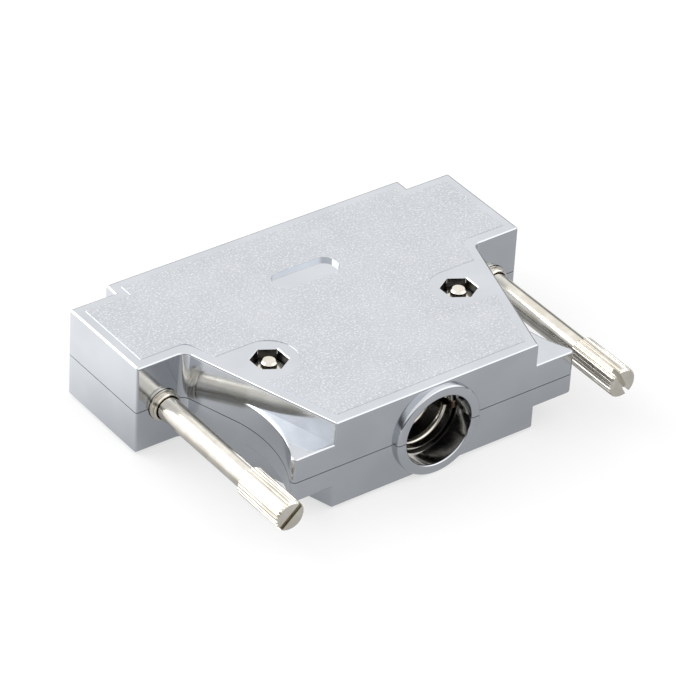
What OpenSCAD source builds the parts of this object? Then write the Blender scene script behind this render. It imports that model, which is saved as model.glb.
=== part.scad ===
// Two-piece metallised hood for a 37-way D-subminiature connector, with long
// knurled jackscrews and a saddle clamp behind a round cable entry.
// Datum: the origin is the middle of the plane that the connector's flange
// seats on. +Y points out of the mating side, the cable leaves towards -Y,
// +Z is up, and the two shells part on Z = 0, a little below the middle.

/* [Connector] */
// Distance between the two jackscrew axes
screw_pitch = 63.5; // [61:0.1:68]
// Length of flange outside each jackscrew axis
flange_over = 2.9; // [2.6:0.1:3.2]
// Height of the connector's flange
flange_h = 12.5; // [12:0.1:12.7]
// Thickness of the connector's flange
flange_t = 1.1; // [0.8:0.1:1.6]
// Play around the flange in its groove
flange_play = 0.15; // [0.05:0.05:0.2]
// Width of the opening for the connector's front shell
front_w = 55.8; // [52:0.2:56.6]
// Height of the opening for the connector's front shell
front_h = 8.7; // [8:0.1:9.5]
// Width of the chamber behind the connector
chamber_w = 53.8; // [50:0.2:54.2]
// Radius of the round window around each jackscrew
window_r = 3.2; // [2.8:0.1:3.6]

/* [Shells] */
// Height of the upper shell above the parting plane, at the smooth border
upper_t = 8.4; // [8.2:0.1:10.4]
// Depth of the lower shell below the parting plane, at the smooth border
lower_t = 7.6; // [7.6:0.1:9.6]
// Thickness of the plates and side walls
wall = 1.6; // [1.2:0.1:1.8]
// Length of block outside each jackscrew axis
end_margin = 5; // [4.8:0.1:6]
// Depth of the connector block, front to rear
block_depth = 18.8; // [17:0.2:24]
// Thickness of the wall in front of the flange
front_wall = 1.4; // [1:0.1:2]
// Thickness of the block's rear wall, which holds the screw bushes
rear_wall = 2.6; // [2.4:0.1:3.2]
// Width of the lips that stand in front of the block
lip_w = 56.8; // [56.6:0.2:62]
// How far the lips stand in front of the block
lip_step = 2.6; // [1:0.1:4]
// Width across the slanted sides where they leave the block
root_w = 56; // [55:0.5:58]
// Width across the slanted sides at the cable face
neck_w = 38.6; // [34:0.2:44]
// Length of the slanted part
neck_len = 27.4; // [26:0.2:34]
// Radius on the outer edges of the plates
edge_r = 0.5; // [0.3:0.1:0.5]
// Radius on the block's and lips' upright corners
corner_r = 0.4; // [0.3:0.1:1.5]
// Radius on the upright corners of the cable face
neck_r = 0.3; // [0.2:0.1:1.5]
// Radius in the upright corner behind the block
inner_r = 1.6; // [0.8:0.1:2.4]
// Width of the thin gap that shows all round where the shells meet
seam_gap = 0.12; // [0.06:0.02:0.2]
// Depth of that gap
seam_depth = 0.4; // [0.3:0.1:0.5]

/* [Ears] */
// Width over both ears at the cable face, before their tips are rounded
ear_w = 54.8; // [50:0.2:56]
// Height of the ears above the parting plane
ear_upper = 4.4; // [3:0.1:5.4]
// Depth of the ears below the parting plane
ear_lower = 3.7; // [3:0.1:4.6]
// Radius of the scoop between ear and slanted side
scoop_r = 22; // [20:0.5:26]
// Radius on the ears' upright tips
tip_r = 0.7; // [0.6:0.1:1]

/* [Cable entry] */
// Outer diameter of the entry collar
entry_od = 15.9; // [14.8:0.1:15.9]
// Bore of the cable entry
entry_id = 12.4; // [12:0.1:13]
// How far the collar stands behind the cable face
entry_len = 1.0; // [0.6:0.1:3]
// Thickness of the wall at the cable face
entry_wall = 3; // [2:0.1:4]
// Radius on the mouth of the bore
mouth_r = 0.3; // [0.2:0.1:0.5]

/* [Faces] */
// Width of the smooth border around the grained field
border_w = 1.8; // [1:0.1:2.4]
// Height of the grained field above the border
field_h = 0.1; // [0.05:0.05:0.2]
// Radius of the smooth pad around each case screw
pad_r = 4.8; // [4:0.1:5.4]
// Length of the blank label recess
label_l = 12; // [6:0.5:20]
// Width of the blank label recess
label_w = 4.8; // [4.4:0.1:7]
// Corner radius of the blank label recess
label_r = 2.1; // [0.5:0.1:2.1]
// Depth of the blank label recess
label_depth = 0.5; // [0.2:0.1:0.8]
// Distance of the label recess behind the flange seat
label_back = 9.9; // [8:0.1:16]

/* [Case screws] */
// Distance between the two case screws
case_pitch = 36.4; // [35:0.2:37]
// Distance of the case screws behind the block's rear face
case_back = 8.4; // [7:0.1:9]
// Diameter of the case screws
case_d = 2.6; // [2:0.1:2.6]
// Size across flats of the hexagon nuts
nut_af = 5; // [4.4:0.1:5]
// Height of the hexagon nuts
nut_h = 2; // [1.6:0.1:2.2]
// Depth of the hexagon pockets below the border
pocket_depth = 3.5; // [3:0.1:4]
// Bevel around the mouths of the hexagon pockets
pocket_bevel = 0.15; // [0.1:0.05:0.3]
// Diameter of the case screw heads
head_d = 5; // [4.4:0.1:5.2]
// Height of the case screw heads
head_h = 1.7; // [1.4:0.1:2]
// How far the screw heads and ends lie below the border
sunk = 0.25; // [0.1:0.05:0.6]
// Width of the driver slots and cross recesses
driver_slot = 0.7; // [0.5:0.1:0.9]
// Play between a fastener and its hole, on the radius
screw_play = 0.15; // [0.05:0.05:0.25]
// Play between a hexagon nut and its pocket, on each flat
nut_play = 0.12; // [0.05:0.01:0.2]
// Wall of the bosses around the hexagon pockets
boss_wall = 1.0; // [0.8:0.1:1.2]
// Height of the spigots that centre the shells on each other
spigot_h = 0.8; // [0.4:0.1:1.2]
// Wall of the spigots around the case screws
spigot_wall = 1.2; // [0.8:0.1:1.4]

/* [Jackscrews] */
// Diameter of the plain shank
shank_d = 3.9; // [3.4:0.1:4]
// Diameter of the knurled knob
knob_d = 5.1; // [4.8:0.1:6]
// Length of the knurled knob
knob_len = 10.5; // [8:0.5:14]
// Number of flutes around the knob
flute_n = 24; // [16:2:32]
// Depth of the flutes
flute_depth = 0.22; // [0.1:0.02:0.26]
// Chamfer on both ends of the knob
knob_chamfer = 0.3; // [0.3:0.05:0.6]
// Distance of the knob's end behind the block's rear face, drawn out
knob_out = 33.7; // [33:0.1:40]
// Width of the driver slot in the knob
slot_w = 0.8; // [0.6:0.1:1.2]
// Depth of the driver slot in the knob
slot_depth = 1.3; // [0.6:0.1:2]
// Diameter of the screw thread
thread_d = 2.84; // [2.5:0.02:2.84]
// Length of the screw thread
thread_len = 8.2; // [6:0.1:9]
// Length of the tapered thread end
thread_tip = 0.6; // [0.2:0.1:1]
// Travel of a jackscrew from drawn out to driven in
screw_travel = 10; // [6:0.5:10]
// How far the left screw is turned, seen from the cable side
left_turn = 42; // [-90:1:90]
// How far the right screw is turned, seen from the cable side
right_turn = -61; // [-90:1:90]

/* [Screw bushes] */
// Radial gap between a jackscrew's shank and its bush
bush_gap = 0.2; // [0.1:0.05:0.3]
// Radial gap between a bush and its seat in the shells
bush_play = 0.1; // [0.05:0.05:0.15]
// Wall of the bush's rim
rim_wall = 0.3; // [0.25:0.05:0.35]
// Depth of the neck behind the bush's rim
rim_neck = 0.15; // [0.05:0.05:0.2]
// Length of the bush's collar behind the rear face
bush_collar = 0.3; // [0.2:0.05:0.4]
// How far the bush stands behind the block's rear face
rim_out = 1.3; // [0.9:0.1:1.6]
// Wall of the bush inside the rear wall
bush_wall = 0.5; // [0.4:0.05:0.6]
// How far the bush's flange stands out from its barrel
bush_flange = 0.7; // [0.4:0.1:0.8]
// Thickness of the bush's flange
bush_flange_t = 0.9; // [0.6:0.1:1.1]

/* [Retaining rings] */
// Thickness of the retaining rings
ring_t = 0.5; // [0.4:0.05:0.6]
// Outer diameter of the retaining rings
ring_d = 5.9; // [5.6:0.1:6]
// Depth of the groove in the shank that holds the ring
groove_depth = 0.8; // [0.7:0.05:0.85]
// Opening angle of the retaining ring's gap
ring_gap = 64; // [40:2:80]
// Gap between a retaining ring and the wall beside the chamber
pocket_gap = 0.3; // [0.2:0.1:0.6]

/* [Cable clamp] */
// Inner radius of the saddles' trough
saddle_r = 5.6; // [5:0.1:5.7]
// Thickness of the saddles' sheet
saddle_t = 0.7; // [0.5:0.05:0.7]
// Length of the saddles along the cable
saddle_len = 7; // [6:0.5:8]
// Distance of the saddles inside the wall at the cable face
saddle_in = 0.4; // [0.2:0.1:1]
// Radial gap between the saddles' troughs and the plates
saddle_play = 0.1; // [0.05:0.05:0.3]
// Gap between the ears of the two saddles
saddle_gap = 1.4; // [0.8:0.1:2]
// Height of the two beads that grip the cable
bead_h = 0.35; // [0.2:0.05:0.5]
// Distance between the two clamp screws
clamp_pitch = 18; // [17.6:0.2:19]
// Diameter of the clamp screws
clamp_d = 2.6; // [2:0.1:2.6]
// Length of the clamp screws under the head
clamp_len = 5.2; // [4:0.2:7]
// Diameter of the clamp screw heads
clamp_head_d = 4.2; // [3.8:0.1:4.4]
// Height of the clamp screw heads
clamp_head_h = 1.5; // [1.2:0.1:1.8]
// Thickness of the ribs that the saddles' ears rest on
seat_rib = 1.2; // [0.8:0.1:1.6]

/* [Hidden] */
$fn = 48;

plating = [0.74, 0.76, 0.79];
nickel = [0.82, 0.79, 0.73];

// Length by which one shape runs past or into another where they are cut or joined
past = 1;
// Half size of the block that cuts a shell off at the parting plane
hood_far = 2 * screw_pitch;
// Steps of a rounded corner and of the plate edge
arc_steps = 5;
// Steps of the scoops
scoop_steps = 14;
// Axial play of a retaining ring in its groove, on each side
ring_side = 0.05;
// Radial play of a retaining ring on its groove
ring_fit = 0.05;
// Where each flute's crest ends and its root begins and ends, as shares of a flute
crest_end = 0.55;
root_start = 0.72;
root_end = 0.83;
// Upright share of a pan head's height, and its recess's share of its diameter
head_upright = 0.6;
recess_span = 0.6;
// Bevel on the ends of the case and clamp screws
end_bevel = 0.3;
// Radius an upright corner keeps where the plate's edge draws it in
least_r = 0.05;
// Where the saddles' two beads lie, as shares of their length
bead_places = [0.25, 0.75];

// Half sizes and planes
pitch_x = screw_pitch / 2;
block_x = pitch_x + end_margin;
front_y = front_wall;
lip_y = front_y + lip_step;
rear_y = front_y - block_depth;
cable_y = rear_y - neck_len;
slope = (root_w - neck_w) / 2 / neck_len;
lean = atan(slope);
groove_y = -(flange_t + flange_play);
inside_rear = rear_y + rear_wall;
entry_in = cable_y + entry_wall;
bore_r = entry_id / 2;

// Case screws and nuts
case_x = case_pitch / 2;
case_y = rear_y - case_back;
pocket_af = nut_af + 2 * nut_play;
boss_r = pocket_af / 2 / cos(30) + boss_wall;
pocket_z = upper_t - pocket_depth;
spigot_r = case_d / 2 + screw_play + spigot_wall;

// Jackscrew, bush and ring
shank_r = shank_d / 2;
bush_in_r = shank_r + bush_gap;
rim_r = bush_in_r + rim_wall;
barrel_r = bush_in_r + bush_wall;
flange_r = barrel_r + bush_flange;
groove_r = shank_r - groove_depth;
ring_y = inside_rear + ring_side;
knob_y = rear_y - knob_out;
shoulder_y = groove_y - screw_travel - 2 * ring_side;
thread_y = shoulder_y + thread_len;

// Cable clamp
saddle_out = saddle_r + saddle_t;
saddle_y = entry_in + saddle_in;
clamp_x = clamp_pitch / 2;
ear_z = saddle_gap / 2 + saddle_t;
rib_in = clamp_x + clamp_head_d / 2 + screw_play;

// Half width of the slanted part at y, drawn in by d
function side_x(y, d) = root_w / 2 + (y - rear_y) * slope - d / cos(lean);

// Unit vector along v
function unit(v) = v / norm(v);

// Points that round the corner b of the path a, b, c with radius r
function round_corner(a, b, c, r) =
    let (
        u = unit(a - b),
        v = unit(c - b),
        half = acos(u * v) / 2,
        centre = b + unit(u + v) * r / sin(half),
        from = b + u * r / tan(half) - centre,
        start = atan2(from.y, from.x),
        turn = (cross(u, v) < 0 ? 1 : -1) * (180 - 2 * half)
    )
    [for (i = [0:arc_steps])
        centre + r * [cos(start + turn * i / arc_steps), sin(start + turn * i / arc_steps)]];

// A closed path of [x, y, radius] corners with every corner rounded
function rounded(path) =
    [for (i = [0:len(path) - 1])
        let (
            n = len(path),
            a = path[(i + n - 1) % n],
            b = path[i],
            c = path[(i + 1) % n]
        )
        each b[2] > 0
            ? round_corner([a.x, a.y], [b.x, b.y], [c.x, c.y], b[2])
            : [[b.x, b.y]]];

// Both sides of a path whose right half is given, front to cable end
function both_sides(right) =
    concat(right, [for (i = [len(right) - 1:-1:0]) [-right[i].x, right[i].y, right[i][2]]]);

// Plan outline of the hood without its ears, drawn in by d; the block's corners
// are rounded by r, those of the cable face by e, and those behind the block by q
function plan(d, r, e, q) = both_sides([
    [lip_w / 2 - d, lip_y - d, r],
    [lip_w / 2 - d, front_y - d, 0],
    [block_x - d, front_y - d, r],
    [block_x - d, rear_y + d, r],
    [side_x(rear_y + d, d), rear_y + d, q],
    [side_x(cable_y + d, d), cable_y + d, e]
]);

// The scoop is an arc that leaves the slanted side and ends at the ear's corner.
// It starts just inside the side, so that the two cross at an angle.
scoop_bite = 0.05;
scoop_root = [root_w / 2, rear_y] - scoop_bite * [cos(lean), -sin(lean)];
scoop_dir = [-sin(lean), -cos(lean)];
scoop_out = [cos(lean), -sin(lean)];
ear_from_root = [ear_w / 2, cable_y] - scoop_root;
ear_along = ear_from_root * scoop_dir;
ear_across = ear_from_root * scoop_out;
scoop_start = ear_along - sqrt(2 * scoop_r * ear_across - ear_across ^ 2);
scoop_centre = scoop_root + scoop_start * scoop_dir + scoop_r * scoop_out;

// Angle at the scoop's centre where its arc, drawn in by d, meets the line y
function scoop_angle(y, d) = 180 + asin((scoop_centre.y - y) / (scoop_r + d));

// Right ear in plan, drawn in by d: first a point well inside the slanted side,
// then the scoop, which stops short of the tip, and the tip's rounding
function ear_plan(d) =
    let (
        end_y = cable_y + d,
        from = 180 - lean,
        to = scoop_angle(end_y, d),
        tip = scoop_centre + (scoop_r + d) * [cos(to), sin(to)],
        along = [sin(to), -cos(to)],
        half = acos(along * [-1, 0]) / 2,
        short = (tip_r - d) / tan(half) / (scoop_r + d) * 180 / PI
    )
    concat(
        [[neck_w / 2 - wall, end_y]],
        [for (i = [0:scoop_steps])
            let (turn = from + (to - short - from) * i / scoop_steps)
            scoop_centre + (scoop_r + d) * [cos(turn), sin(turn)]],
        [for (i = [1:arc_steps]) round_corner(tip + along, tip, tip - [1, 0], tip_r - d)[i]]
    );

// Rings of a plate's outside: upright from below the parting plane to the edge
// radius, then drawn in along a quarter circle to the top; each ring is
// [inset, height]
function edge_rings(top) =
    concat([[0, -past]], [for (i = [0:arc_steps])
        let (turn = 90 * i / arc_steps)
        [edge_r * (1 - cos(turn)), top - edge_r * (1 - sin(turn))]]);

// Solid between stacked outlines of equally many points, listed clockwise. Its
// flat ends are not convex, so ends lists the convex pieces they are split into
module stack(outlines, heights, ends) {
    n = len(outlines[0]);
    last = len(outlines) - 1;
    polyhedron(
        points = [for (k = [0:last]) for (p = outlines[k]) [p.x, p.y, heights[k]]],
        faces = concat(
            [for (piece = ends) [for (i = [len(piece) - 1:-1:0]) piece[i]]],
            [for (piece = ends) [for (i = piece) last * n + i]],
            [for (k = [0:last - 1]) for (i = [0:n - 1])
                let (j = (i + 1) % n)
                [k * n + j, (k + 1) * n + j, (k + 1) * n + i, k * n + i]]
        )
    );
}

// Convex piece of the body's outline of n points: the points a to b on the right
// side and their mirror images, from the middle of the right side's points on
function body_piece(n, a, b) =
    let (
        right = [for (i = [a:b]) i],
        left = [for (i = [b:-1:a]) n - 1 - i],
        around = concat(right, left),
        first = floor((b - a) / 2)
    )
    [for (i = [0:len(around) - 1]) around[(first + i) % len(around)]];

// Outside of one shell above the parting plane, with rounded top edges, from
// the heights of its plate and of its ears
module shell_blank(shell_t, ear_t) {
    body = edge_rings(shell_t);
    ear = edge_rings(ear_t);
    arc = arc_steps + 1;
    outlines = [for (ring = body)
        rounded(plan(ring[0], max(corner_r - ring[0], least_r),
            max(neck_r - ring[0], least_r), inner_r + ring[0]))];
    n = len(outlines[0]);
    block_end = 3 * arc + 1;
    slant_start = block_end + arc_steps;
    stack(outlines, [for (ring = body) ring[1]], concat(
        [body_piece(n, 0, arc), body_piece(n, arc, block_end)],
        [for (i = [block_end:slant_start - 1]) body_piece(n, i, i + 1)],
        [body_piece(n, slant_start, n / 2 - 1)]
    ));
    ear_outlines = [for (ring = ear) ear_plan(ring[0])];
    ear_heights = [for (ring = ear) ring[1]];
    fan = [for (i = [1:len(ear_outlines[0]) - 2]) [0, i, i + 1]];
    stack(ear_outlines, ear_heights, fan);
    mirror([1, 0, 0]) stack(ear_outlines, ear_heights, fan);
}

// Raised field inside the smooth border, left out around the case screws
module grained_field(shell_t) {
    root = wall / 4;
    translate([0, 0, shell_t - root])
        linear_extrude(root + field_h)
            difference() {
                polygon(rounded(plan(border_w, 0, 0, inner_r)));
                for (s = [-1, 1])
                    translate([s * case_x, case_y]) {
                        circle(pad_r);
                        translate([s > 0 ? 0 : -root_w / 2, -pad_r])
                            square([root_w / 2, 2 * pad_r]);
                    }
            }
}

// Round collar at the cable face, with a rounded rim and bore mouth
module entry_collar() {
    root = entry_wall / 2;
    rotate([90, 0, 0])
        translate([0, 0, -cable_y])
            rotate_extrude()
                polygon(concat(
                    [[bore_r, -root], [entry_od / 2, -root]],
                    [for (i = [0:arc_steps])
                        let (turn = 90 * i / arc_steps)
                        [entry_od / 2 - edge_r, entry_len - edge_r]
                            + edge_r * [cos(turn), sin(turn)]],
                    [for (i = [0:arc_steps])
                        let (turn = 90 + 90 * i / arc_steps)
                        [bore_r + mouth_r, entry_len - mouth_r]
                            + mouth_r * [cos(turn), sin(turn)]]
                ));
}

// Wiring space behind the connector, as a polygon that follows the slanted sides
module wiring_space(inside_z) {
    chamber_x = chamber_w / 2;
    knee_y = rear_y + (chamber_x - side_x(rear_y, wall)) / slope;
    end_x = side_x(entry_in, wall);
    translate([0, 0, -2 * past])
        linear_extrude(2 * past + inside_z)
            polygon([
                [chamber_x, groove_y], [chamber_x, knee_y], [end_x, entry_in],
                [-end_x, entry_in], [-chamber_x, knee_y], [-chamber_x, groove_y]
            ]);
}

// Space for one jackscrew's thread and ring between its bush and the flange
module screw_pocket(inside_z) {
    inner_x = pitch_x - ring_d / 2 - pocket_gap;
    translate([0, 0, -2 * past])
        linear_extrude(2 * past + inside_z)
            polygon([
                [inner_x, groove_y], [inner_x, inside_rear],
                [block_x - wall, inside_rear], [block_x - wall, groove_y]
            ]);
}

// Groove for the flange and the opening in front of it
module connector_opening() {
    flange_x = pitch_x + flange_over + flange_play;
    flange_z = flange_h / 2 + flange_play;
    translate([-flange_x, groove_y, -flange_z])
        cube([2 * flange_x, -groove_y, 2 * flange_z]);
    translate([-front_w / 2, -past, -front_h / 2])
        cube([front_w, past + front_y, front_h]);
    translate([-lip_w / 2 - past, front_y, -front_h / 2])
        cube([lip_w + 2 * past, lip_step + past, front_h]);
    translate([-pitch_x, -past, -window_r])
        cube([screw_pitch, past + front_y + past, 2 * window_r]);
    for (s = [-1, 1])
        translate([s * pitch_x, -past, 0])
            rotate([-90, 0, 0])
                cylinder(r = window_r, h = past + front_y + past);
}

// Everything hollow that both shells share, up to the inside of the plate
module shared_hollow(inside_z) {
    wiring_space(inside_z);
    connector_opening();
    screw_pocket(inside_z);
    mirror([1, 0, 0]) screw_pocket(inside_z);
}

// Seats for the bushes, the bore of the cable entry and room for the saddles
// behind it, cut right through z = 0
module shared_bores() {
    for (s = [-1, 1])
        translate([s * pitch_x, 0, 0]) {
            translate([0, rear_y - past, 0])
                rotate([-90, 0, 0])
                    cylinder(r = barrel_r + bush_play, h = rear_wall + 2 * past);
            translate([0, rear_y + (rear_wall - bush_flange_t) / 2, 0])
                rotate([-90, 0, 0])
                    cylinder(r = flange_r + bush_play, h = bush_flange_t);
        }
    translate([0, cable_y - entry_len - past, 0])
        rotate([-90, 0, 0])
            cylinder(r = bore_r, h = entry_len + entry_wall + 2 * past);
    translate([0, entry_in, 0])
        rotate([-90, 0, 0])
            cylinder(r = saddle_out + saddle_play, h = saddle_in + saddle_len + past);
}

// Bosses around the case screws and ribs under the saddles' ears
module shared_ribs(shell_t) {
    for (s = [-1, 1]) {
        translate([s * case_x, case_y, -past])
            cylinder(r = boss_r, h = past + shell_t - edge_r);
        translate([s * (rib_in + seat_rib / 2) - seat_rib / 2, entry_in - past, ear_z])
            cube([seat_rib, saddle_len + 2 * past, shell_t - edge_r - ear_z]);
    }
}

// Half of the thin gap around the parting plane, outside what the shells meet on
module seam() {
    translate([0, 0, -past])
        linear_extrude(past + seam_gap / 2)
            difference() {
                translate([-hood_far, -hood_far]) square(2 * hood_far);
                polygon(rounded(plan(seam_depth, 0, 0, inner_r)));
                polygon(ear_plan(seam_depth));
                mirror([1, 0, 0]) polygon(ear_plan(seam_depth));
            }
}

// One shell above the parting plane, before its own screw holes, from the
// heights of its plate and of its ears
module half_shell(shell_t, ear_t) {
    difference() {
        union() {
            difference() {
                union() {
                    shell_blank(shell_t, ear_t);
                    grained_field(shell_t);
                    entry_collar();
                }
                shared_hollow(shell_t - wall);
            }
            shared_ribs(shell_t);
        }
        shared_bores();
        seam();
        translate([-hood_far, -hood_far, -2 * hood_far])
            cube(2 * hood_far);
    }
}

// Blank recess in the upper face, with round corners
module label_recess() {
    x = label_l / 2;
    y = label_w / 2;
    translate([0, -label_back, upper_t - label_depth])
        linear_extrude(label_depth + past)
            polygon(rounded([
                [x, y, label_r], [-x, y, label_r], [-x, -y, label_r], [x, -y, label_r]
            ]));
}

// Regular hexagon with flats along Y, its points listed clockwise
function hexagon(across) =
    [for (i = [5:-1:0]) across / 2 / cos(30) * [cos(60 * i + 30), sin(60 * i + 30)]];

// Hexagon pocket for a nut, with a bevelled mouth
module nut_pocket() {
    wide = pocket_af + 2 * pocket_bevel + 2 * past;
    stack(
        [hexagon(pocket_af), hexagon(pocket_af), hexagon(wide)],
        [pocket_z, upper_t - pocket_bevel, upper_t + past],
        [[for (i = [0:5]) i]]
    );
}

module upper_shell() {
    color(plating)
        difference() {
            half_shell(upper_t, ear_upper);
            label_recess();
            for (s = [-1, 1])
                translate([s * case_x, case_y, 0]) {
                    translate([0, 0, -past])
                        cylinder(r = case_d / 2 + screw_play, h = upper_t);
                    translate([0, 0, -past])
                        cylinder(r = spigot_r + screw_play, h = past + spigot_h + screw_play);
                    nut_pocket();
                }
        }
}

module lower_shell() {
    color(plating)
        difference() {
            union() {
                mirror([0, 0, 1]) half_shell(lower_t, ear_lower);
                for (s = [-1, 1])
                    translate([s * case_x, case_y, -past])
                        cylinder(r = spigot_r, h = past + spigot_h);
            }
            for (s = [-1, 1])
                translate([s * case_x, case_y, 0]) {
                    translate([0, 0, -lower_t])
                        cylinder(r = case_d / 2 + screw_play, h = 2 * lower_t);
                    translate([0, 0, -lower_t - past])
                        cylinder(r = head_d / 2 + screw_play, h = past + sunk + head_h);
                }
        }
}

// Ring of points around the knob, four to a flute: crest, crest, root, root
function flute_points() =
    [for (i = [0:flute_n - 1])
        let (step = 360 / flute_n, crest = knob_d / 2, root = knob_d / 2 - flute_depth)
        each [
            crest * [cos(step * i), sin(step * i)],
            crest * [cos(step * (i + crest_end)), sin(step * (i + crest_end))],
            root * [cos(step * (i + root_start)), sin(step * (i + root_start))],
            root * [cos(step * (i + root_end)), sin(step * (i + root_end))]
        ]];

// Knurled knob along +Z from its slotted end
module knob() {
    small_r = knob_d / 2 - knob_chamfer;
    difference() {
        intersection() {
            linear_extrude(knob_len) polygon(flute_points());
            cylinder(r1 = small_r, r2 = small_r + knob_len, h = knob_len);
            cylinder(r1 = small_r + knob_len, r2 = small_r, h = knob_len);
        }
        translate([-knob_d, -slot_w / 2, -past])
            cube([2 * knob_d, slot_w, past + slot_depth]);
    }
}

// Jackscrew along +Y on its own axis: knob, shank, ring groove and thread
module jackscrew(turn) {
    shank_from = knob_y + knob_len;
    groove_from = ring_y - ring_side;
    groove_w = ring_t + 2 * ring_side;
    color(nickel)
        rotate([-90, 0, 0]) {
            translate([0, 0, knob_y]) rotate([0, 0, -turn]) knob();
            translate([0, 0, shank_from - past])
                cylinder(r = shank_r, h = groove_from - shank_from + past);
            translate([0, 0, groove_from - past])
                cylinder(r = groove_r, h = groove_w + 2 * past);
            translate([0, 0, groove_from + groove_w])
                cylinder(r = shank_r, h = shoulder_y - groove_from - groove_w);
            translate([0, 0, shoulder_y - past])
                cylinder(r = thread_d / 2, h = thread_len - thread_tip + past);
            translate([0, 0, thread_y - thread_tip])
                cylinder(r1 = thread_d / 2, r2 = thread_d / 2 - thread_tip / 2, h = thread_tip);
        }
}

module left_jackscrew() {
    translate([-pitch_x, 0, 0]) jackscrew(left_turn);
}

module right_jackscrew() {
    translate([pitch_x, 0, 0]) jackscrew(right_turn);
}

// Open ring in the shank's groove; its gap faces down
module retaining_ring() {
    inner = groove_r + ring_fit;
    reach = ring_d * sin(ring_gap / 2);
    color(nickel)
        translate([0, ring_y, 0])
            rotate([-90, 0, 0])
                difference() {
                    cylinder(r = ring_d / 2, h = ring_t);
                    translate([0, 0, -past]) cylinder(r = inner, h = ring_t + 2 * past);
                    translate([0, 0, -past])
                        linear_extrude(ring_t + 2 * past)
                            polygon([[0, 0], [reach, ring_d], [-reach, ring_d]]);
                }
}

module left_retaining_ring() {
    translate([-pitch_x, 0, 0]) retaining_ring();
}

module right_retaining_ring() {
    translate([pitch_x, 0, 0]) retaining_ring();
}

// Turned bush in the rear wall: beaded rim outside, flange inside the wall
module screw_bush() {
    bead = rim_wall / 2;
    neck_r = rim_r - rim_neck;
    flange_at = (rear_wall - bush_flange_t) / 2;
    color(nickel)
        translate([0, rear_y, 0])
            rotate([-90, 0, 0])
                rotate_extrude()
                    polygon([
                        [bush_in_r, -rim_out],
                        [rim_r - bead, -rim_out],
                        [rim_r, -rim_out + bead],
                        [rim_r, -rim_out + 2 * bead],
                        [neck_r, -rim_out + 3 * bead],
                        [neck_r, -bush_collar - bead],
                        [barrel_r, -bush_collar],
                        [barrel_r, flange_at],
                        [flange_r, flange_at],
                        [flange_r, flange_at + bush_flange_t],
                        [barrel_r, flange_at + bush_flange_t],
                        [barrel_r, rear_wall],
                        [bush_in_r, rear_wall]
                    ]);
}

module left_screw_bush() {
    translate([-pitch_x, 0, 0]) screw_bush();
}

module right_screw_bush() {
    translate([pitch_x, 0, 0]) screw_bush();
}

// Crossed driver recess cut down from z = 0
module cross_recess(depth, span) {
    for (turn = [0, 90])
        rotate([0, 0, turn])
            translate([-span / 2, -driver_slot / 2, -depth])
                cube([span, driver_slot, depth + past]);
}

// Pan-head screw that hangs from its head: the head's seat is at z = 0
module pan_screw(d, under, head, height) {
    side_h = height * head_upright;
    top_r = head / 2 - (height - side_h);
    color(nickel)
        difference() {
            union() {
                cylinder(r = head / 2, h = side_h);
                translate([0, 0, side_h])
                    cylinder(r1 = head / 2, r2 = top_r, h = height - side_h);
                translate([0, 0, end_bevel - under])
                    cylinder(r = d / 2, h = under - end_bevel + side_h / 2);
                translate([0, 0, -under])
                    cylinder(r1 = d / 2 - end_bevel, r2 = d / 2, h = end_bevel);
            }
            translate([0, 0, height]) cross_recess(height / 2, head * recess_span);
        }
}

// Case screw: its head is in the lower shell and its end above the nut
module case_screw(x) {
    seat_z = -lower_t + sunk + head_h;
    translate([x, case_y, seat_z])
        mirror([0, 0, 1])
            pan_screw(case_d, upper_t - sunk - seat_z, head_d, head_h);
}

module left_case_screw() {
    case_screw(-case_x);
}

module right_case_screw() {
    case_screw(case_x);
}

// Hexagon nut with a bevelled top, threaded on its case screw
module case_nut(x) {
    corner = nut_af / 2 / cos(30);
    bevel = corner - nut_af / 2;
    color(nickel)
        translate([x, case_y, pocket_z])
            difference() {
                intersection() {
                    rotate([0, 0, 30]) cylinder(r = corner, h = nut_h, $fn = 6);
                    union() {
                        cylinder(r = corner + past, h = nut_h - bevel);
                        translate([0, 0, nut_h - bevel])
                            cylinder(r1 = corner, r2 = corner - 2 * bevel, h = bevel);
                    }
                }
                translate([0, 0, -past]) cylinder(d = case_d, h = nut_h + 2 * past);
            }
}

module left_case_nut() {
    case_nut(-case_x);
}

module right_case_nut() {
    case_nut(case_x);
}

// Lower saddle: a half-round trough with two gripping beads and two ears, whose
// holes have radius hole_r
module saddle(hole_r) {
    bead_r = saddle_t / 2 + bead_h / 2;
    ear_x = rib_in + seat_rib;
    color(nickel)
        translate([0, saddle_y, 0])
            difference() {
                union() {
                    intersection() {
                        rotate([-90, 0, 0])
                            rotate_extrude()
                                union() {
                                    translate([saddle_r, 0]) square([saddle_t, saddle_len]);
                                    for (f = bead_places)
                                        translate([saddle_r + bead_r - bead_h, saddle_len * f])
                                            circle(bead_r, $fn = 24);
                                }
                        translate([-saddle_out - past, -past, -saddle_out - past])
                            cube([2 * (saddle_out + past), saddle_len + 2 * past,
                                saddle_out + past - saddle_gap / 2]);
                    }
                    for (s = [-1, 1])
                        translate([s > 0 ? saddle_r + saddle_t / 2 : -ear_x, 0, -ear_z])
                            cube([ear_x - saddle_r - saddle_t / 2, saddle_len, saddle_t]);
                }
                for (s = [-1, 1])
                    translate([s * clamp_x, saddle_len / 2, -saddle_out])
                        cylinder(r = hole_r, h = 2 * saddle_out);
            }
}

module lower_cable_saddle() {
    saddle(clamp_d / 2);
}

module upper_cable_saddle() {
    mirror([0, 0, 1]) saddle(clamp_d / 2 + screw_play);
}

module clamp_screw(x) {
    translate([x, saddle_y + saddle_len / 2, ear_z])
        pan_screw(clamp_d, clamp_len, clamp_head_d, clamp_head_h);
}

module left_clamp_screw() {
    clamp_screw(-clamp_x);
}

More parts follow.
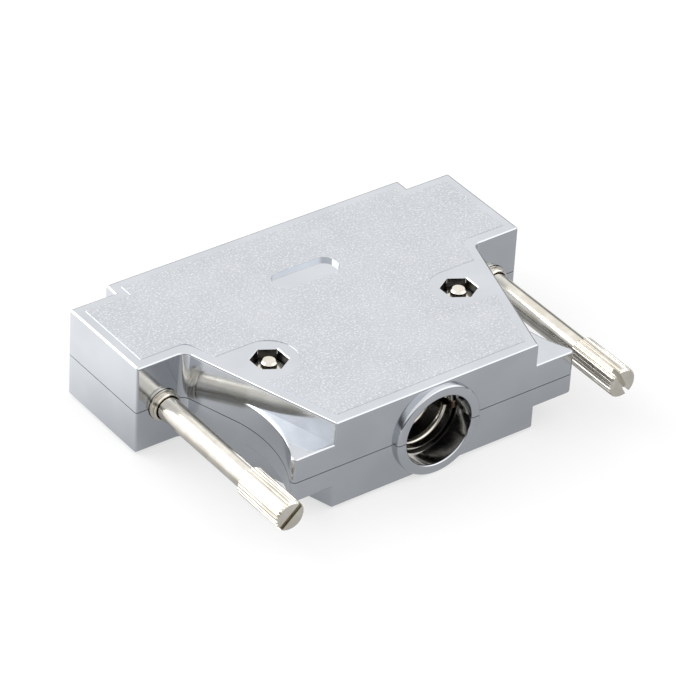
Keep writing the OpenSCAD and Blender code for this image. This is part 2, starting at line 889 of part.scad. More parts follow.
module right_clamp_screw() {
    clamp_screw(clamp_x);
}

upper_shell();
lower_shell();
left_jackscrew();
right_jackscrew();
left_retaining_ring();
right_retaining_ring();
left_screw_bush();
right_screw_bush();
left_case_screw();
right_case_screw();
left_case_nut();
right_case_nut();
upper_cable_saddle();
lower_cable_saddle();
left_clamp_screw();
right_clamp_screw();
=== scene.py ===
"""Looks of a metallised hood for a D-subminiature connector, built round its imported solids.

Lengths in the classes are in millimetres, and the meshes are in metres. +Y leads out of the
mating side, the cable leaves towards -Y, and +Z is up.
"""

import logging
import math
from dataclasses import dataclass, field
from enum import Enum
from typing import Any

import bmesh
import bpy
import numpy as np
from mathutils import Matrix, Vector

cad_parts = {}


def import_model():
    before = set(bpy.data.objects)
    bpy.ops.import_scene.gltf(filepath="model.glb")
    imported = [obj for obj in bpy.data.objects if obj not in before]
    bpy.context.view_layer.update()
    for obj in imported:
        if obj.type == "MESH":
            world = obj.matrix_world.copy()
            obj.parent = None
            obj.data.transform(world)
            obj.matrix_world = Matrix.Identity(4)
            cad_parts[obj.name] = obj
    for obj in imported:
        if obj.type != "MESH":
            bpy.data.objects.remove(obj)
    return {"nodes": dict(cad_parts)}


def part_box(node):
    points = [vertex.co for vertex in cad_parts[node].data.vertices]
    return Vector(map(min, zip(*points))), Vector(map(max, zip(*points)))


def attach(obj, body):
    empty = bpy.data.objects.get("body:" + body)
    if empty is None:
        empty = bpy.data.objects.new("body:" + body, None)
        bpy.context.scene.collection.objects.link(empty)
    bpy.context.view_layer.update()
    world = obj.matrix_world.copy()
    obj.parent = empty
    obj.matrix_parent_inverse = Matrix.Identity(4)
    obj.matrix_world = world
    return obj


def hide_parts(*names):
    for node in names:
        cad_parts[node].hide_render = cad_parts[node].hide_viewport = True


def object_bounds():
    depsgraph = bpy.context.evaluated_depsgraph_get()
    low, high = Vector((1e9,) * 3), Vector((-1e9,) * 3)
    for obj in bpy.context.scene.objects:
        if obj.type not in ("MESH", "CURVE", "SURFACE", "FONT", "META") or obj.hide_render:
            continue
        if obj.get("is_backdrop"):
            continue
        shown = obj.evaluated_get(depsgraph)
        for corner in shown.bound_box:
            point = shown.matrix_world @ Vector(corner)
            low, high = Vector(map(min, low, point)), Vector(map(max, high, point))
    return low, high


LOG = logging.getLogger("hood")
MM = 0.001
MERGE_DISTANCE = 1e-7

Colour = tuple[float, float, float]
Place = tuple[float, float, float]
Faces = list[tuple[int, ...]]
Mouth = tuple[int, int, int, int]

WHITE: Colour = (1.0, 1.0, 1.0)


class Side(Enum):
    """The two ends of the hood, with the sign of their X."""

    LEFT = -1
    RIGHT = 1

    @property
    def word(self) -> str:
        """The side's name as the nodes use it."""
        return self.name.lower()


class Half(Enum):
    """The two shells, with the sign of their Z."""

    LOWER = -1
    UPPER = 1

    @property
    def word(self) -> str:
        """The half's name as the nodes use it."""
        return self.name.lower()


class Slot(Enum):
    """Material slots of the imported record."""

    PLASTIC = "metallised_plastic"
    NICKEL = "nickel_plated_steel"


# ---------------------------------------------------------------- shader maths


class Shade:
    """A number in a shader that Python's operators work on."""

    def __init__(self, nodes: "Nodes", socket: bpy.types.NodeSocket) -> None:
        """Wraps an output socket of the given node tree."""
        self.nodes = nodes
        self.socket = socket

    def __add__(self, other: "Shade | float") -> "Shade":
        """Sum."""
        return self.nodes.maths("ADD", self, other)

    def __radd__(self, other: float) -> "Shade":
        """Sum with a number on the left."""
        return self.nodes.maths("ADD", other, self)

    def __sub__(self, other: "Shade | float") -> "Shade":
        """Difference."""
        return self.nodes.maths("SUBTRACT", self, other)

    def __rsub__(self, other: float) -> "Shade":
        """Difference with a number on the left."""
        return self.nodes.maths("SUBTRACT", other, self)

    def __mul__(self, other: "Shade | float") -> "Shade":
        """Product."""
        return self.nodes.maths("MULTIPLY", self, other)

    def __rmul__(self, other: float) -> "Shade":
        """Product with a number on the left."""
        return self.nodes.maths("MULTIPLY", other, self)

    def __gt__(self, other: "Shade | float") -> "Shade":
        """1 where this value is larger, and 0 elsewhere."""
        return self.nodes.maths("GREATER_THAN", self, other)

    def __lt__(self, other: "Shade | float") -> "Shade":
        """1 where this value is smaller, and 0 elsewhere."""
        return self.nodes.maths("LESS_THAN", self, other)

    def __abs__(self) -> "Shade":
        """Size without sign."""
        return self.nodes.maths("ABSOLUTE", self)

    def ramp(self, low: float, high: float) -> "Shade":
        """Makes a smooth step from 0 at low to 1 at high.

        Args:
            low: value at and under which the step is 0.
            high: value at and over which the step is 1.

        Returns:
            The step.
        """
        node = self.nodes.add(
            "ShaderNodeMapRange",
            {"interpolation_type": "SMOOTHSTEP"},
            {"Value": self, "From Min": low, "From Max": high},
        )
        return Shade(self.nodes, node.outputs["Result"])


class Nodes:
    """A material's or world's node tree, filled by short calls."""

    def __init__(self, tree: bpy.types.NodeTree) -> None:
        """Empties the tree."""
        self.tree = tree
        tree.nodes.clear()

    def add(self, kind: str, settings: dict[str, Any], inputs: dict[str, Any]) -> bpy.types.Node:
        """Makes a node.

        Args:
            kind: Blender's name of the node type.
            settings: properties of the node, set before its sockets.
            inputs: socket names with a value, a socket or a Shade for each.

        Returns:
            The new node.
        """
        node = self.tree.nodes.new(kind)
        for name, value in settings.items():
            setattr(node, name, value)
        for name, value in inputs.items():
            self.feed(node.inputs[name], value)
        return node

    def feed(self, socket: bpy.types.NodeSocket, value: Any) -> None:
        """Links a socket or Shade to an input, or sets the input's own value.

        Args:
            socket: the input.
            value: a socket, a Shade, or a plain value.
        """
        source = value.socket if isinstance(value, Shade) else value
        if isinstance(source, bpy.types.NodeSocket):
            self.tree.links.new(source, socket)
        else:
            socket.default_value = source

    def maths(self, operation: str, *values: "Shade | float") -> Shade:
        """Adds a Math node.

        Args:
            operation: the node's operation.
            values: what it works on, in the order of its sockets.

        Returns:
            The result.
        """
        node = self.add("ShaderNodeMath", {"operation": operation}, {})
        for socket, value in zip(node.inputs, values):
            self.feed(socket, value)
        return Shade(self, node.outputs[0])

    def parts(self, vector: Any) -> tuple[Shade, Shade, Shade]:
        """Splits a vector.

        Args:
            vector: the socket to split.

        Returns:
            Its X, Y and Z.
        """
        split = self.add("ShaderNodeSeparateXYZ", {}, {"Vector": vector})
        x, y, z = (Shade(self, split.outputs[axis]) for axis in "XYZ")
        return x, y, z

    def coordinates(self, kind: str) -> bpy.types.NodeSocket:
        """Coordinates of the given kind, in metres for a piece."""
        return self.add("ShaderNodeTexCoord", {}, {}).outputs[kind]

    def noise(self, vector: Any, size_mm: float, detail: float) -> Shade:
        """Adds noise.

        Args:
            vector: coordinates in metres.
            size_mm: rough size of its features.
            detail: number of finer octaves on it.

        Returns:
            The noise, between 0 and 1.
        """
        node = self.add(
            "ShaderNodeTexNoise",
            {"noise_dimensions": "3D"},
            {"Vector": vector, "Scale": 1.0 / (size_mm * MM), "Detail": detail},
        )
        return Shade(self, node.outputs["Fac"])

    def stretched(self, vector: Any, scale: Place) -> bpy.types.NodeSocket:
        """Coordinates scaled along each axis, which turns noise into streaks."""
        return self.add("ShaderNodeMapping", {}, {"Vector": vector, "Scale": scale}).outputs["Vector"]

    def blend(self, share: Shade, low: Any, high: Any) -> bpy.types.NodeSocket:
        """Mixes two colours.

        Args:
            share: how far the result is from low towards high, from 0 to 1.
            low: a colour or a socket.
            high: a colour or a socket.

        Returns:
            The mixed colour.
        """
        node = self.add("ShaderNodeMix", {"data_type": "RGBA"}, {"Factor": share})
        ends = [socket for socket in node.inputs if socket.type == "RGBA"]
        for end, colour in zip(ends, (low, high)):
            self.feed(end, (*colour, 1.0) if isinstance(colour, tuple) else colour)
        return next(socket for socket in node.outputs if socket.type == "RGBA")

    def bump(self, height: Shade, strength: float, distance: float) -> bpy.types.NodeSocket:
        """Turns a height into a normal.

        Args:
            height: the height, in units of distance.
            strength: share of the effect.
            distance: metres for a height of 1.

        Returns:
            The normal.
        """
        inputs = {"Strength": strength, "Distance": distance, "Height": height}
        return self.add("ShaderNodeBump", {}, inputs).outputs["Normal"]

    def metal(self, colour: Any, roughness: Shade, normal: Any) -> None:
        """Ends the tree in a metal.

        Args:
            colour: base colour.
            roughness: roughness over the surface.
            normal: normal over the surface.
        """
        inputs = {"Base Color": colour, "Metallic": 1.0, "Roughness": roughness, "Normal": normal}
        shader = self.add("ShaderNodeBsdfPrincipled", {}, inputs)
        self.add("ShaderNodeOutputMaterial", {}, {"Surface": shader.outputs["BSDF"]})


def new_material(name: str) -> tuple[bpy.types.Material, Nodes]:
    """Makes an empty material.

    Args:
        name: the material's name.

    Returns:
        The material and its nodes.
    """
    made = bpy.data.materials.new(name)
    made.use_nodes = True
    return made, Nodes(made.node_tree)


# ---------------------------------------------------------------- finishes


@dataclass(frozen=True)
class SatinPlating:
    """Silver plating on moulded plastic: smooth walls and borders, grained raised fields."""

    base: Colour = (0.60, 0.62, 0.65)
    dull: Colour = (0.56, 0.58, 0.61)
    # painted glints: a brighter colour in small specks on the grained fields
    sparkle: Colour = (0.76, 0.77, 0.79)
    # painted shade: near-black colour for the inside of the hood and the nuts' pockets
    inner: Colour = (0.05, 0.05, 0.05)
    upper_field: float = 8.45
    lower_field: float = -7.65
    roughness: float = 0.13
    field_roughness: float = 0.30
    inner_roughness: float = 0.35
    drift_roughness: float = 0.05
    grain_mm: float = 0.26
    grain_height_mm: float = 0.05
    sparkle_mm: float = 0.338
    sparkle_band: tuple[float, float] = (0.48, 0.72)
    drift_mm: float = 9.0
    drift_band: tuple[float, float] = (0.3, 0.7)
    wave_mm: float = 6.0
    wave_height_mm: float = 0.02
    side_slope: float = 0.3175
    side_limit: float = 32.6
    block_limit: float = 36.0
    block_rear: float = -16.5
    cable_end: float = -42.0
    front: float = 0.9
    middle: float = 0.4
    half_inside: float = 7.0
    pocket_x: float = 18.2
    pocket_y: float = -25.8
    pocket_r: float = 3.0
    pocket_rim: float = 8.25

    def shaded_hollow(self, x: Shade, y: Shade, z: Shade) -> Shade:
        """Marks the inside of the hood and the nuts' pockets, where shade is painted, with 1, and all
        else with 0.

        The inside lies between two slanted planes, |x| - slope * y < limit, or in the box
        behind the flange, and between the plates. A pocket is the round space about a case
        screw's axis from the parting plane up to the pocket's rim.

        Args:
            x: position along X in metres.
            y: position along Y in metres.
            z: position along Z in metres.

        Returns:
            The mask.
        """
        slanted = (abs(x) - y * self.side_slope < self.side_limit * MM) * (y > self.cable_end * MM)
        block = (abs(x) < self.block_limit * MM) * (y > self.block_rear * MM)
        between = (abs(z - self.middle * MM) < self.half_inside * MM) * (y < self.front * MM)
        off_x = abs(x) - self.pocket_x * MM
        off_y = y - self.pocket_y * MM
        around = off_x * off_x + off_y * off_y < (self.pocket_r * MM) ** 2
        pocket = around * (z < self.pocket_rim * MM) * (z > 0.0)
        inside = slanted.nodes.maths("MAXIMUM", slanted, block) * between
        return slanted.nodes.maths("MAXIMUM", inside, pocket)

    def material(self, name: str) -> bpy.types.Material:
        """Makes the material.

        The grain and its painted glints, brighter specks of colour, are noise that only counts
        on the raised fields, beyond the borders' height. Walls are a little wavy, and roughness and
        colour drift everywhere. The inside and the nuts' pockets get painted shade, a near-black
        colour, and more roughness.

        Args:
            name: the material's name.

        Returns:
            The finished material.
        """
        made, nodes = new_material(name)
        place = nodes.coordinates("Object")
        x, y, z = nodes.parts(place)
        on_field = (z > self.upper_field * MM) + (z < self.lower_field * MM)
        grain = nodes.noise(place, self.grain_mm, 2.0)
        glint_specks = nodes.noise(place, self.sparkle_mm, 1.0)
        drift = nodes.noise(place, self.drift_mm, 2.0)
        waves = nodes.noise(place, self.wave_mm, 1.0)
        relief = grain * on_field * (self.grain_height_mm * MM)
        shaded_hollow = self.shaded_hollow(x, y, z)
        roughness = (
            self.roughness
            + on_field * (self.field_roughness - self.roughness)
            + shaded_hollow * (self.inner_roughness - self.roughness)
        )
        plain = nodes.blend(drift.ramp(*self.drift_band), self.dull, self.base)
        # painted glints on the grained fields
        outside = nodes.blend(glint_specks.ramp(*self.sparkle_band) * on_field, plain, self.sparkle)
        nodes.metal(
            # painted shade: the inside of the hood and the pockets turn near-black
            nodes.blend(shaded_hollow, outside, self.inner),
            roughness + (drift - 0.5) * self.drift_roughness,
            nodes.bump(relief + waves * (self.wave_height_mm * MM), 1.0, 1.0),
        )
        return made


@dataclass(frozen=True)
class BrightNickel:
    """Warm bright nickel on turned or pressed steel, with fine streaks along or round it."""

    base: Colour = (0.80, 0.765, 0.69)
    dull: Colour = (0.66, 0.62, 0.54)
    roughness: float = 0.13
    streak: Place = (1.0, 0.08, 1.0)
    streak_mm: float = 0.12
    streak_depth_mm: float = 0.01
    streak_strength: float = 0.15
    streak_roughness: float = 0.08
    drift_mm: float = 3.0
    drift_band: tuple[float, float] = (0.3, 0.75)

    def material(self, name: str) -> bpy.types.Material:
        """Makes the material.

        Noise stretched along the axis varies roughness, and a broad noise varies colour.

        Args:
            name: the material's name.

        Returns:
            The finished material.
        """
        made, nodes = new_material(name)
        place = nodes.coordinates("Object")
        lines = nodes.noise(nodes.stretched(place, self.streak), self.streak_mm, 2.0)
        drift = nodes.noise(place, self.drift_mm, 2.0)
        nodes.metal(
            nodes.blend(drift.ramp(*self.drift_band), self.dull, self.base),
            self.roughness + lines * self.streak_roughness,
            nodes.bump(lines, self.streak_strength, self.streak_depth_mm * MM),
        )
        return made


# ---------------------------------------------------------------- meshes


def smooth(piece: bpy.types.Object, angle_deg: float) -> None:
    """Shades a piece smoothly, apart from edges that are sharper than the angle."""
    piece.data.shade_smooth()
    piece.data.set_sharp_from_angle(angle=math.radians(angle_deg))


def new_object(name: str, data: bpy.types.ID) -> bpy.types.Object:
    """Puts data into the scene.

    Args:
        name: the object's name.
        data: its mesh, lamp or camera.

    Returns:
        The object, at the origin.
    """
    made = bpy.data.objects.new(name, data)
    bpy.context.scene.collection.objects.link(made)
    return made


def wrapped(first: int, rows: int, count: int) -> np.ndarray:
    """Numbers the faces of a grid of rings, each closed round.

    Face (k, j) joins points j and j + 1 of ring k with the same points of ring k + 1, and
    the last point of a ring is followed by its first.

    Args:
        first: number of the first ring's first point.
        rows: number of rings.
        count: points in each ring.

    Returns:
        Point numbers, as an array of rows - 1 by count by 4.
    """
    ring = first + count * np.arange(rows - 1)[:, None]
    here = np.arange(count)[None, :]
    after = (here + 1) % count
    return np.stack((ring + here, ring + after, ring + count + after, ring + count + here), axis=-1)


def mesh_piece(name: str, points: np.ndarray, faces: Faces, angle_deg: float) -> bpy.types.Object:
    """Makes a mesh object whose normals point outwards.

    Args:
        name: the object's name.
        points: corner points in millimetres, one row each.
        faces: point numbers of each face.
        angle_deg: edges sharper than this stay sharp.

    Returns:
        The object, at the origin.
    """
    mesh = bpy.data.meshes.new(name)
    mesh.from_pydata((points * MM).tolist(), [], faces)
    work = bmesh.new()
    work.from_mesh(mesh)
    bmesh.ops.recalc_face_normals(work, faces=work.faces)
    work.to_mesh(mesh)
    work.free()
    piece = new_object(name, mesh)
    smooth(piece, angle_deg)
    return piece


def polished_copy(node: str, name: str, angle_deg: float) -> bpy.types.Object:
    """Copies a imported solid's mesh, joins its loose triangles and shades it smoothly.

    Args:
        node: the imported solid.
        name: the new piece's name.
        angle_deg: edges sharper than this stay sharp.

    Returns:
        The new piece, which stands for the node.
    """
    mesh = bpy.data.objects[node].data.copy()
    mesh.name = name
    mesh.materials.clear()
    work = bmesh.new()
    work.from_mesh(mesh)
    bmesh.ops.remove_doubles(work, verts=work.verts, dist=MERGE_DISTANCE)
    work.to_mesh(mesh)
    work.free()
    own_normals = mesh.attributes.get("custom_normal")
    if own_normals:
        mesh.attributes.remove(own_normals)
    piece = new_object(name, mesh)
    smooth(piece, angle_deg)
    weighted = piece.modifiers.new("flat_faces", "WEIGHTED_NORMAL")
    weighted.keep_sharp = True
    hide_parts(node)
    return piece


def dress(piece: bpy.types.Object, finish: bpy.types.Material, body: str) -> None:
    """Gives a piece its material and its body, and reports it.

    Args:
        piece: the piece.
        finish: its material.
        body: the body that it rides on.
    """
    piece.data.materials.clear()
    piece.data.materials.append(finish)
    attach(piece, body)
    LOG.info("%s: %d faces on body %s", piece.name, len(piece.data.polygons), body)


# ---------------------------------------------------------------- sub-assemblies


@dataclass
class Shells:
    """The two moulded halves."""

    finish: SatinPlating = field(default_factory=SatinPlating)
    sharp_deg: float = 32.0

    def build(self) -> None:
        """Builds and dresses both halves."""
        material = self.finish.material("satin_plating")
        for half in Half:
            node = half.word + "_shell"
            piece = polished_copy(node, node + "_moulding", self.sharp_deg)
            dress(piece, material, "hood")


@dataclass
class Jackscrew:
    """A long captive screw: slotted knurled knob, plain shank, ring groove and thread."""

    side: Side
    turn_deg: float
    knob_r: float = 2.55
    knob_len: float = 10.5
    chamfer: float = 0.3
    flutes: int = 24
    flute_depth: float = 0.22
    slot_w: float = 0.8
    slot_depth: float = 1.3
    shank_r: float = 1.95
    groove_r: float = 1.15
    groove_w: float = 0.6
    groove_from_tip: float = 11.65
    shoulder_from_tip: float = 8.2
    thread_r: float = 1.42
    pitch: float = 0.635
    thread_depth: float = 0.36
    flank_slope: float = 2.6
    root_flat: float = 0.15
    tip: float = 0.6
    edge: float = 0.12
    turn_steps: int = 48
    pitch_steps: int = 10
    sharp_deg: float = 28.0

    def build(self, material: bpy.types.Material) -> None:
        """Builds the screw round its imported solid's ends and dresses it.

        Args:
            material: the bright nickel.
        """
        node = self.side.word + "_jackscrew"
        low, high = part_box(node)
        self.axis_x = self.side.value * abs((low.x + high.x) / 2) / MM
        self.start = low.y / MM
        self.end = high.y / MM
        points, faces = self.surface()
        piece = mesh_piece(node + "_turned", points, faces, self.sharp_deg)
        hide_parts(node)
        dress(piece, material, self.side.word + "_screw")

    def axes(self) -> tuple[np.ndarray, np.ndarray]:
        """Gives the slot's directions.

        Returns:
            Unit vectors along the slot and across it, seen from the cable side.
        """
        turn = math.radians(self.turn_deg)
        along = np.array([math.cos(turn), 0.0, math.sin(turn)])
        across = np.array([math.sin(turn), 0.0, -math.cos(turn)])
        return along, across

    def rings(self, radius: np.ndarray, angle: np.ndarray, y: np.ndarray) -> np.ndarray:
        """Places rings of points round the screw's axis.

        A point is the axis at y, plus the radius times cos(angle) along the slot and times
        sin(angle) across it.

        Args:
            radius: radii in millimetres, one row for each ring.
            angle: angles of a ring's points in radians.
            y: place of each ring along the axis.

        Returns:
            The points, as an array of rings by angles by 3.
        """
        along, across = self.axes()
        outward = np.cos(angle)[:, None] * along + np.sin(angle)[:, None] * across
        points = radius[:, :, None] * outward
        points[..., 0] += self.axis_x
        points[..., 1] += y[:, None]
        return points

    def flute_profile(self) -> tuple[np.ndarray, np.ndarray]:
        """Gives the knob's outline.

        Each flute has a slightly crowned crest, a flank down, a root and a flank up, at
        fixed shares of its width.

        Returns:
            The angles in radians and the radii in millimetres.
        """
        shares = np.array([0.0, 0.09, 0.275, 0.46, 0.55, 0.66, 0.72, 0.83, 0.89])
        falls = np.array([0.12, 0.0, 0.0, 0.0, 0.12, 0.75, 1.0, 1.0, 0.75])
        step = 2 * math.pi / self.flutes
        angle = (np.arange(self.flutes)[:, None] + shares).ravel() * step
        radius = self.knob_r - self.flute_depth * np.tile(falls, self.flutes)
        return angle, radius

    def surface(self) -> tuple[np.ndarray, Faces]:
        """Works out the whole surface as rings of points along the axis, joined by faces.

        Knob and shank share the flutes' angles. The slot leaves its strip out of the rings
        above its floor and closes it with two walls, two end faces and a floor. The thread
        has fewer points round it, so a flat shoulder joins both counts.

        Returns:
            Points in millimetres and faces.
        """
        angle, crest = self.flute_profile()
        count = len(angle)
        mouth = self.mouth(angle)
        floor = 3
        knob = self.knob(angle, crest)
        self.open_slot(knob[: floor + 1], mouth)
        shoulder = self.end - self.shoulder_from_tip
        body = np.concatenate((knob, self.shank(angle, shoulder)))
        kept = np.ones((len(body) - 1, count), dtype=bool)
        kept[:floor] = ~self.in_mouth(count, mouth)
        faces = wrapped(0, len(body), count)[kept].tolist()
        faces += self.slot_faces(mouth, floor, count)
        first = len(body) * count
        thread, thread_faces = self.thread(shoulder, first)
        faces += thread_faces
        faces += self.shoulder_faces(angle, first - count, first)
        return np.concatenate((body.reshape(-1, 3), thread)), faces

    def knob(self, angle: np.ndarray, crest: np.ndarray) -> np.ndarray:
        """Places the knob's rings.

        The radius is the flutes' outline, cut by a cone of 45 degrees at either end. The
        fourth ring lies on the slot's floor.

        Args:
            angle: the outline's angles.
            crest: the outline's radii.

        Returns:
            The rings' points.
        """
        at = np.array([
            0.0,
            self.edge,
            self.chamfer,
            self.slot_depth,
            self.slot_depth + self.edge,
            self.knob_len - self.chamfer,
            self.knob_len - self.edge,
            self.knob_len,
        ])
        cone = self.knob_r - self.chamfer + np.minimum(at, self.knob_len - at)
        radius = np.minimum(crest[None, :], cone[:, None])
        return self.rings(radius, angle, self.start + at)

    def shank(self, angle: np.ndarray, shoulder: float) -> np.ndarray:
        """Places the shank's rings, with the retaining ring's groove.

        Args:
            angle: angles of a ring's points.
            shoulder: Y of the shoulder before the thread.

        Returns:
            The rings' points.
        """
        groove = self.end - self.groove_from_tip
        ends = [self.start + self.knob_len, groove, groove, groove + self.groove_w]
        ends += [groove + self.groove_w, shoulder - self.edge, shoulder]
        radii = [self.shank_r, self.shank_r, self.groove_r, self.groove_r]
        radii += [self.shank_r, self.shank_r, self.shank_r - self.edge]
        radius = np.array(radii)[:, None] * np.ones(len(angle))
        return self.rings(radius, angle, np.array(ends))

    def mouth(self, angle: np.ndarray) -> Mouth:
        """Finds the slot's four edges.

        Args:
            angle: angles of a ring's points.

        Returns:
            Point numbers nearest to the edges, going round from the first.
        """
        edge = math.asin(self.slot_w / 2 / self.knob_r)
        wanted = (edge, math.pi - edge, math.pi + edge, 2 * math.pi - edge)
        a, b, c, d = (int(np.argmin(np.abs(angle - at))) for at in wanted)
        return a, b, c, d

    def open_slot(self, points: np.ndarray, mouth: Mouth) -> None:
        """Moves the four edge points of each ring onto the slot's two walls.

        An edge point keeps its distance from the axis: half the slot's width across it,
        and the rest by Pythagoras along it.

        Args:
            points: the rings that the slot cuts, changed in place.
            mouth: point numbers of the edges.
        """
        along, across = self.axes()
        half = self.slot_w / 2
        centre = np.array([self.axis_x, 0.0, 0.0]) + points[:, :1, 1] * np.array([0.0, 1.0, 0.0])
        for index, (s, c) in zip(mouth, ((1, 1), (1, -1), (-1, -1), (-1, 1))):
            radius = np.linalg.norm(points[:, index] - centre, axis=1)
            reach = np.sqrt(radius**2 - half**2)[:, None]
            points[:, index] = centre + c * reach * along + s * half * across

    def in_mouth(self, count: int, mouth: Mouth) -> np.ndarray:
        """Marks the faces of a ring that lie in the slot's mouth.

        Args:
            count: points in a ring.
            mouth: point numbers of the edges.

        Returns:
            True for each point that such a face follows.
        """
        a, b, c, d = mouth
        j = np.arange(count)
        return ((j >= b) & (j < c)) | (j >= d) | (j < a)

    def slot_faces(self, mouth: Mouth, floor: int, count: int) -> Faces:
        """Closes the slot with its end faces, walls and floor.

        Args:
            mouth: point numbers of the edges.
            floor: number of the ring on the slot's floor.
            count: points in a ring.

        Returns:
            The faces.
        """
        a, b, c, d = mouth
        faces: Faces = [tuple(range(a, b + 1)), tuple(range(c, d + 1))]
        for k in range(floor):
            low, high = k * count, (k + 1) * count
            faces.append((low + a, low + b, high + b, high + a))
            faces.append((low + c, low + d, high + d, high + c))
        base = floor * count
        ends = [*range(d, count), *range(0, a + 1), *range(b, c + 1)]
        faces.append(tuple(base + i for i in ends))
        return faces

    def thread(self, shoulder: float, first: int) -> tuple[np.ndarray, Faces]:
        """Works out the right-handed thread as one surface over angle and length.

        The radius falls from the crest by a triangle wave of length / pitch - angle / turn;
        it starts at the root behind the shoulder and follows a cone at the tip.

        Args:
            shoulder: Y of the shoulder.
            first: number of the first point.

        Returns:
            Points in millimetres and faces.
        """
        length = self.end - shoulder
        rows = int(length / self.pitch * self.pitch_steps)
        along = np.linspace(0.0, length, rows)
        angle = np.arange(self.turn_steps) * 2 * math.pi / self.turn_steps
        phase = (along[:, None] / self.pitch - angle[None, :] / (2 * math.pi)) % 1.0
        wave = np.clip(np.abs(phase - 0.5) * self.flank_slope - self.root_flat, 0.0, 1.0)
        depth = np.where(along[:, None] < self.pitch, 1.0, 1.0 - wave)
        cone = self.thread_r - self.tip / 2 + (length - along[:, None]) / 2
        radius = np.minimum(self.thread_r - self.thread_depth * depth, cone)
        points = self.rings(radius, angle, shoulder + along)
        faces = wrapped(first, rows, self.turn_steps).reshape(-1, 4).tolist()
        last = first + (rows - 1) * self.turn_steps
        faces.append(tuple(range(last, last + self.turn_steps)))
        return points.reshape(-1, 3), faces

    def shoulder_faces(self, angle: np.ndarray, outer: int, inner: int) -> Faces:
        """Joins the shank's last ring to the thread's first ring by flat faces.

        Args:
            angle: angles of the shank's points.
            outer: number of the shank ring's first point.
            inner: number of the thread ring's first point.

        Returns:
            One face for each step of the thread's ring.
        """
        count = len(angle)
        step = 2 * math.pi / self.turn_steps
        near = [int(np.argmin(np.abs(angle - j * step))) for j in range(self.turn_steps)]
        near.append(count)
        faces: Faces = []
        for j in range(self.turn_steps):
            rim = [outer + i % count for i in range(near[j], near[j + 1] + 1)]
            faces.append((*rim, inner + (j + 1) % self.turn_steps, inner + j))
        return faces


@dataclass
class Fittings:
    """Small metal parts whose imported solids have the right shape."""

    sharp_deg: float = 30.0

    def build(self, material: bpy.types.Material) -> None:
        """Dresses bushes, rings, case screws and nuts, saddles and clamp screws.

        Args:
            material: the bright nickel.
        """
        for side in Side:
            self.plate(side.word + "_retaining_ring", material, side.word + "_ring")
            for part in ("screw_bush", "case_screw", "case_nut", "clamp_screw"):
                self.plate(f"{side.word}_{part}", material, "hood")
        for half in Half:
            self.plate(half.word + "_cable_saddle", material, "hood")

    def plate(self, node: str, material: bpy.types.Material, body: str) -> None:
        """Makes the piece for one node, on the given body."""
        piece = polished_copy(node, node + "_plated", self.sharp_deg)
        dress(piece, material, body)


# ---------------------------------------------------------------- studio


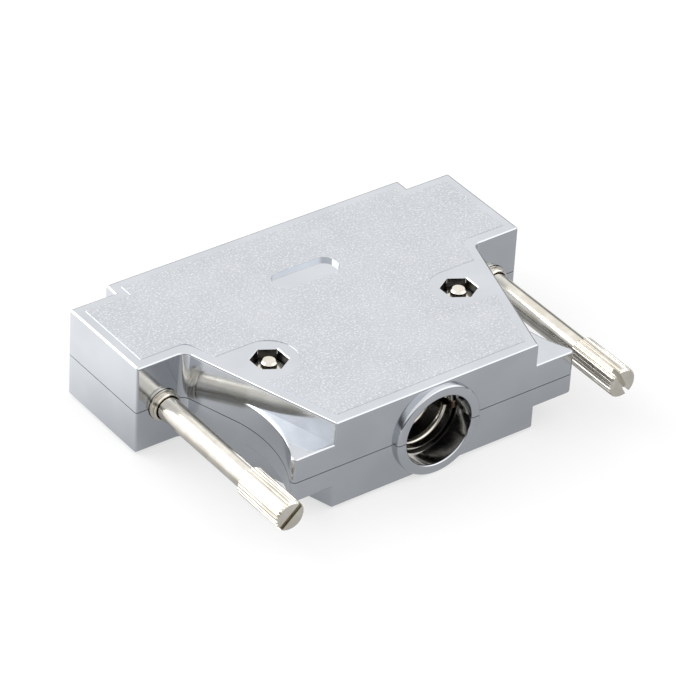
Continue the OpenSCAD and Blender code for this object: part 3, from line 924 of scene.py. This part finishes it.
@dataclass
class Studio:
    """Floor, light and camera, with places and sizes in metres but for the camera's."""

    azimuth_deg: float = -38.19
    elevation_deg: float = 35.15
    roll_deg: float = 3.52
    distance_mm: float = 662.1
    target_mm: Place = (0.649, -21.595, 0.4)
    lens: float = 217.76
    sensor: float = 36.0
    clip: tuple[float, float] = (0.01, 20.0)
    floor_half: float = 1.5
    floor_colour: Colour = (0.82, 0.82, 0.82)
    floor_glow: float = 0.62
    mirrored_glow: float = 0.75
    # painted light and shade that reflections see in the floor: shadow near the object, a lamp pool,
    # dark far off
    painted_floor_shadow: Colour = (0.42, 0.43, 0.44)
    painted_far_shade: Colour = (0.12, 0.12, 0.12)
    painted_lamp_pool: Colour = (1.3, 1.3, 1.3)
    far_band: tuple[float, float] = (0.12, 0.6)
    bright_band: tuple[float, float] = (0.01, 0.06)
    zenith: float = 1.18
    horizon: float = 0.12
    front_light: float = 0.7
    sky_band: tuple[float, float] = (0.1, 0.5)
    front_band: tuple[float, float] = (0.5, 1.2)
    front_height: tuple[float, float] = (0.0, 0.15)
    lamp_width: float = 0.9
    lamp_height: float = 0.95
    lamp_power: float = 7.5
    lamp_place: Place = (-0.58, 0.62, 0.46)
    lamp_target: Place = (0.0, 0.0, 0.1)

    def build(self) -> None:
        """Makes the floor, the lamp, the world and the camera."""
        self.floor()
        self.world()
        self.lamp()
        self.camera()
        LOG.info("studio: floor, lamp, world and camera")

    def floor(self) -> None:
        """Makes a plain white floor under the object.

        The camera sees it white with the object's shadow. Reflections see it glow with painted light
        and shade:
        a pool of lamp light on the lamp's side, shadow near the object on the other side, and dark
        far off.
        """
        low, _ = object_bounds()
        corners = np.array([[-1, -1, 0], [1, -1, 0], [1, 1, 0], [-1, 1, 0]]) * self.floor_half
        corners[:, 2] = low.z
        plane = mesh_piece("floor", corners / MM, [(0, 1, 2, 3)], 30.0)
        plane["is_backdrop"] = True
        made, nodes = new_material("floor_white")
        x, y, _ = nodes.parts(nodes.coordinates("Object"))
        path = nodes.add("ShaderNodeLightPath", {}, {})
        camera = Shade(nodes, path.outputs["Is Camera Ray"])
        glossy = Shade(nodes, path.outputs["Is Glossy Ray"])
        away = nodes.maths("SQRT", x * x + y * y).ramp(*self.far_band)
        # painted light and shade for reflections: lamp pool on the lamp's side, shadow near the
        # object, dark far off
        near = nodes.blend((y - x).ramp(*self.bright_band), self.painted_floor_shadow, self.painted_lamp_pool)
        painted_mirrored_light = nodes.blend(away, near, self.painted_far_shade)
        glow_with_painted_light = nodes.blend(glossy, WHITE, painted_mirrored_light)
        lit = nodes.add("ShaderNodeBsdfDiffuse", {}, {"Color": (*self.floor_colour, 1.0)})
        glow = nodes.add("ShaderNodeEmission", {}, {"Color": glow_with_painted_light})
        share = camera * self.floor_glow + glossy * self.mirrored_glow
        mixed = nodes.add("ShaderNodeMixShader", {}, {"Fac": share})
        nodes.feed(mixed.inputs[1], lit.outputs[0])
        nodes.feed(mixed.inputs[2], glow.outputs[0])
        nodes.add("ShaderNodeOutputMaterial", {}, {"Surface": mixed.outputs[0]})
        plane.data.materials.append(made)

    def world(self) -> None:
        """Makes soft surroundings: bright overhead and in front on the right, dark at the horizon."""
        world = bpy.data.worlds.new("soft_room")
        bpy.context.scene.world = world
        world.use_nodes = True
        nodes = Nodes(world.node_tree)
        across, along, height = nodes.parts(nodes.coordinates("Generated"))
        room = self.horizon + height.ramp(*self.sky_band) * (self.zenith - self.horizon)
        front = (across - along).ramp(*self.front_band) * height.ramp(*self.front_height)
        path = nodes.add("ShaderNodeLightPath", {}, {})
        camera = Shade(nodes, path.outputs["Is Camera Ray"])
        strength = (room + front * self.front_light) * (1.0 - camera) + camera
        inputs = {"Color": (*WHITE, 1.0), "Strength": strength}
        back = nodes.add("ShaderNodeBackground", {}, inputs)
        nodes.add("ShaderNodeOutputWorld", {}, {"Surface": back.outputs[0]})

    def lamp(self) -> None:
        """Makes one large soft lamp from the floor up, behind the object on its left."""
        lamp = bpy.data.lights.new("softbox", "AREA")
        lamp.shape = "RECTANGLE"
        lamp.size = self.lamp_width
        lamp.size_y = self.lamp_height
        lamp.energy = self.lamp_power
        holder = new_object("softbox", lamp)
        holder.location = self.lamp_place
        holder.rotation_mode = "QUATERNION"
        sight = Vector(self.lamp_target) - Vector(self.lamp_place)
        holder.rotation_quaternion = sight.to_track_quat("-Z", "Y")

    def camera(self) -> None:
        """Makes the camera round the target, turned a little about its own axis."""
        azimuth, elevation = math.radians(self.azimuth_deg), math.radians(self.elevation_deg)
        back = Vector((
            math.sin(azimuth) * math.cos(elevation),
            -math.cos(azimuth) * math.cos(elevation),
            math.sin(elevation),
        ))
        right = Vector((0.0, 0.0, 1.0)).cross(back).normalized()
        up = back.cross(right)
        roll = math.radians(self.roll_deg)
        turned_right = right * math.cos(roll) + up * math.sin(roll)
        turned_up = up * math.cos(roll) - right * math.sin(roll)
        lens = bpy.data.cameras.new("camera")
        lens.lens = self.lens
        lens.sensor_width = self.sensor
        lens.clip_start, lens.clip_end = self.clip
        camera = new_object("camera", lens)
        place = (Vector(self.target_mm) + back * self.distance_mm) * MM
        turn = Matrix((turned_right, turned_up, back)).transposed().to_4x4()
        camera.matrix_world = Matrix.Translation(place) @ turn
        bpy.context.scene.camera = camera


def main() -> None:
    """Builds every sub-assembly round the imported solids, and the studio."""
    logging.basicConfig(level=logging.INFO, format="%(name)s: %(message)s")
    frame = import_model()
    LOG.info("frame of %d nodes", len(frame["nodes"]))
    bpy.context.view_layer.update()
    bpy.context.scene.view_settings.view_transform = "Standard"
    nickel = BrightNickel().material("bright_nickel")
    Shells().build()
    Jackscrew(Side.LEFT, 42.0).build(nickel)
    Jackscrew(Side.RIGHT, -61.0).build(nickel)
    Fittings().build(nickel)
    Studio().build()


if __name__ == "__main__":
    main()
